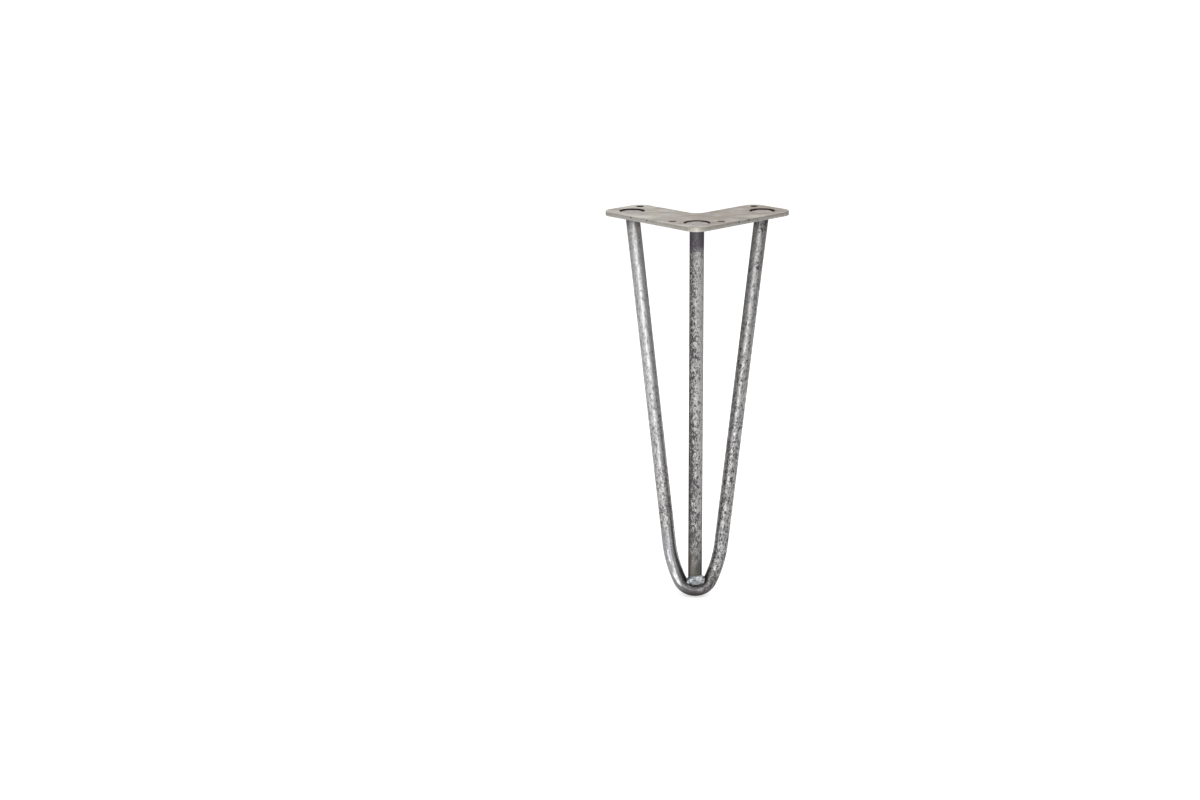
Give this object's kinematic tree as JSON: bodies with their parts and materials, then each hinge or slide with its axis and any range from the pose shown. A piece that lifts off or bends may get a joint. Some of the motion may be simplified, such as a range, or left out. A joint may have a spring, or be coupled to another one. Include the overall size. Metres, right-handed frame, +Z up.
{
  "type": "hairpin table leg",
  "caption": "Hairpin table leg of welded round steel bar under an L-shaped screw plate: it carries a tabletop's corner on a bent foot.",
  "frame": {"origin": "on the plate's upper face, midway between the two front screw holes", "axes": "+Z up, out of the plate's upper face towards the tabletop; -Y towards the plate's outer corner; X = 0 is the plane of symmetry, and the two arms run back to either side at 45 degrees"},
  "size_m": [0.1436, 0.0983, 0.305],
  "materials": {
    "plate_steel": "bare sheet steel, lightly scratched, with heat tint round the welds",
    "bar_steel": "bare hot-rolled round bar with mottled mill scale, partly ground back",
    "weld_metal": "bare weld metal, lumpy and light grey"
  },
  "bodies": {
    "root": {"top_plate": "plate_steel", "hairpin_bar": "bar_steel", "corner_bar": "bar_steel", "foot_weld": "weld_metal", "corner_plate_weld": "weld_metal", "left_plate_weld": "weld_metal", "right_plate_weld": "weld_metal"}
  },
  "joints": []
}
